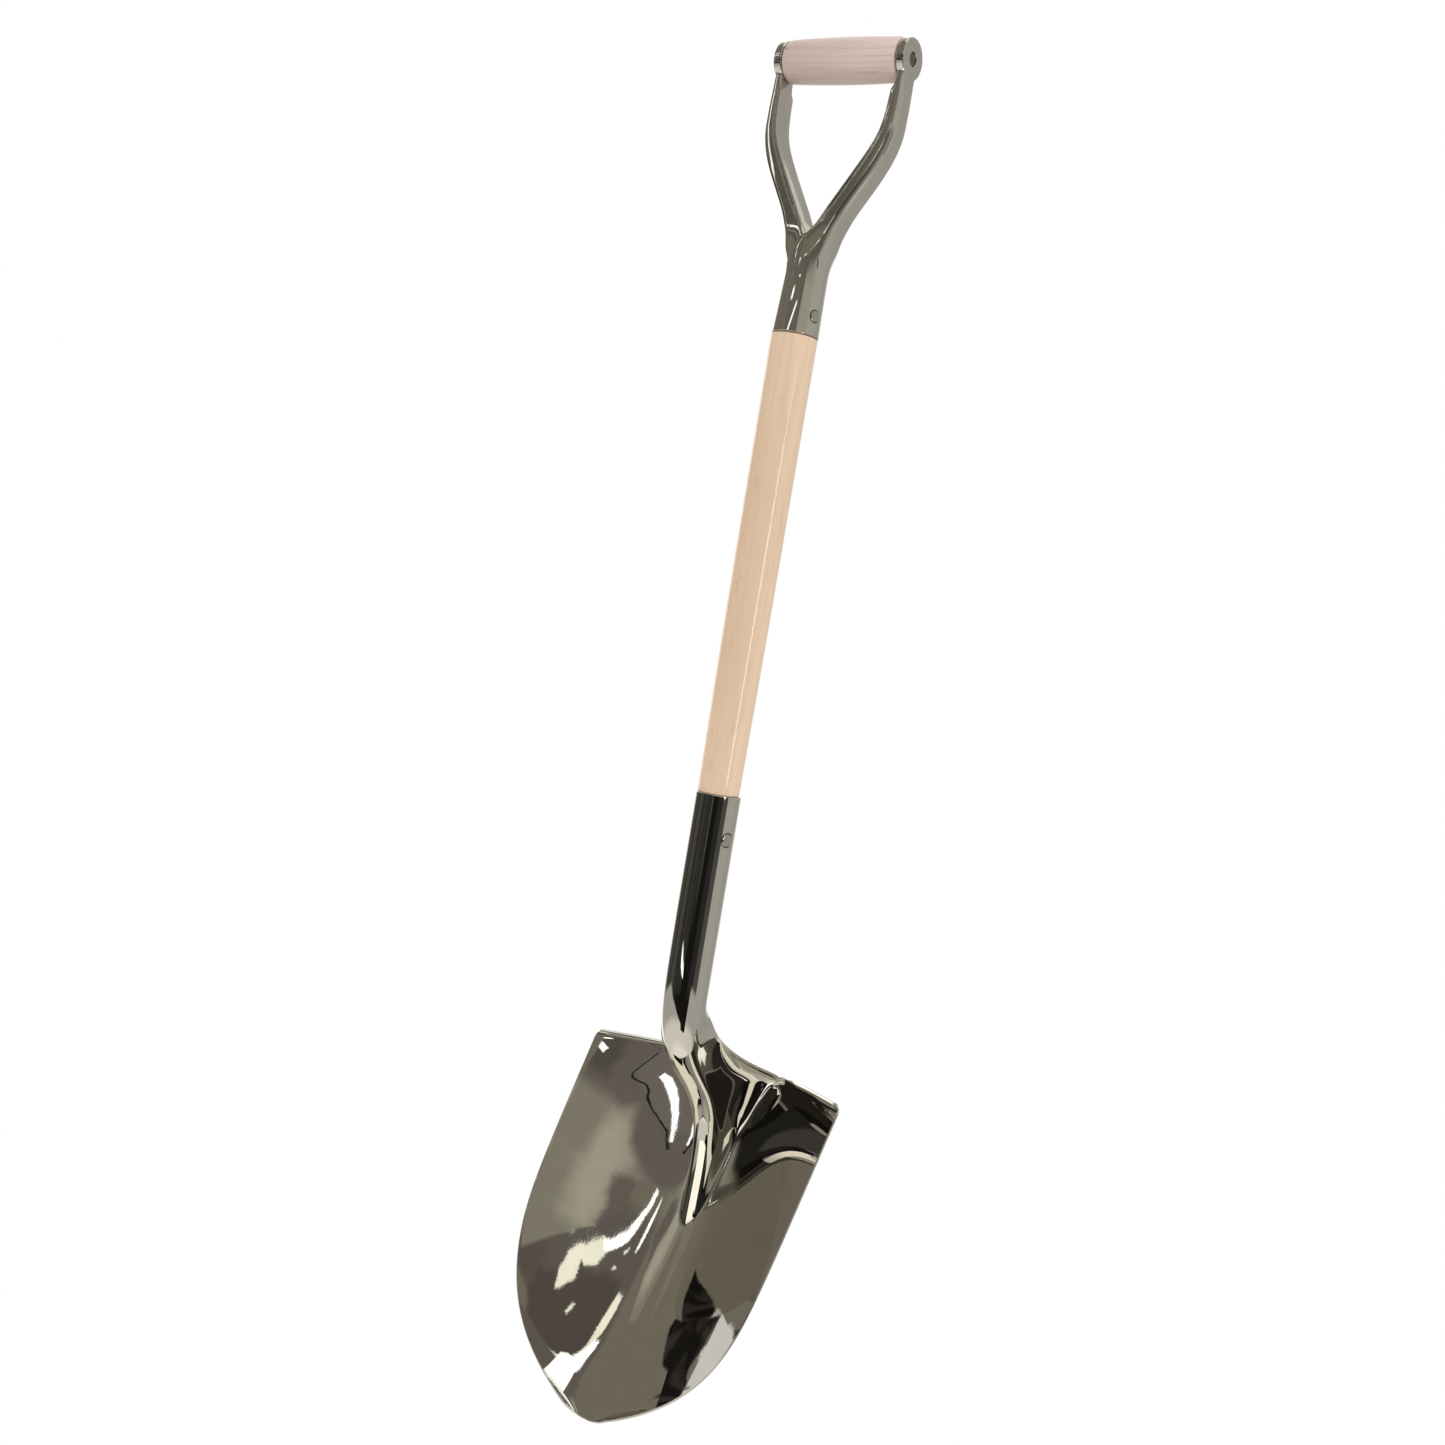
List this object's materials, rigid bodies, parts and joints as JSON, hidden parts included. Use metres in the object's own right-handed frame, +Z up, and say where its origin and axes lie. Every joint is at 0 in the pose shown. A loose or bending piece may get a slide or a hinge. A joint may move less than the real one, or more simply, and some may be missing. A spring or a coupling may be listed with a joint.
{
  "type": "digging shovel",
  "caption": "Long-handled digging shovel with a pointed, dished steel blade, hardwood shaft and D-shaped yoke with a wooden cross grip, for digging and lifting soil.",
  "frame": {"origin": "centre of the wooden cross grip, halfway between the two end discs", "axes": "+Z up along the shaft, away from the blade; +X along the cross grip; the hollow of the blade faces -Y"},
  "size_m": [0.221, 0.1306, 1.0018],
  "materials": {
    "blade_steel": "mirror-polished stainless sheet",
    "shaft_wood": "clear gloss lacquer",
    "rivet_steel": "polished",
    "yoke_steel": "polished",
    "grip_wood": "satin lacquer",
    "rod_steel": "peened, darkened"
  },
  "bodies": {
    "root": {"blade": "blade_steel", "shaft": "shaft_wood", "socket_rivet": "rivet_steel", "yoke": "yoke_steel", "yoke_rivet": "rivet_steel", "cross_grip": "grip_wood", "grip_rod": "rod_steel"}
  },
  "joints": []
}
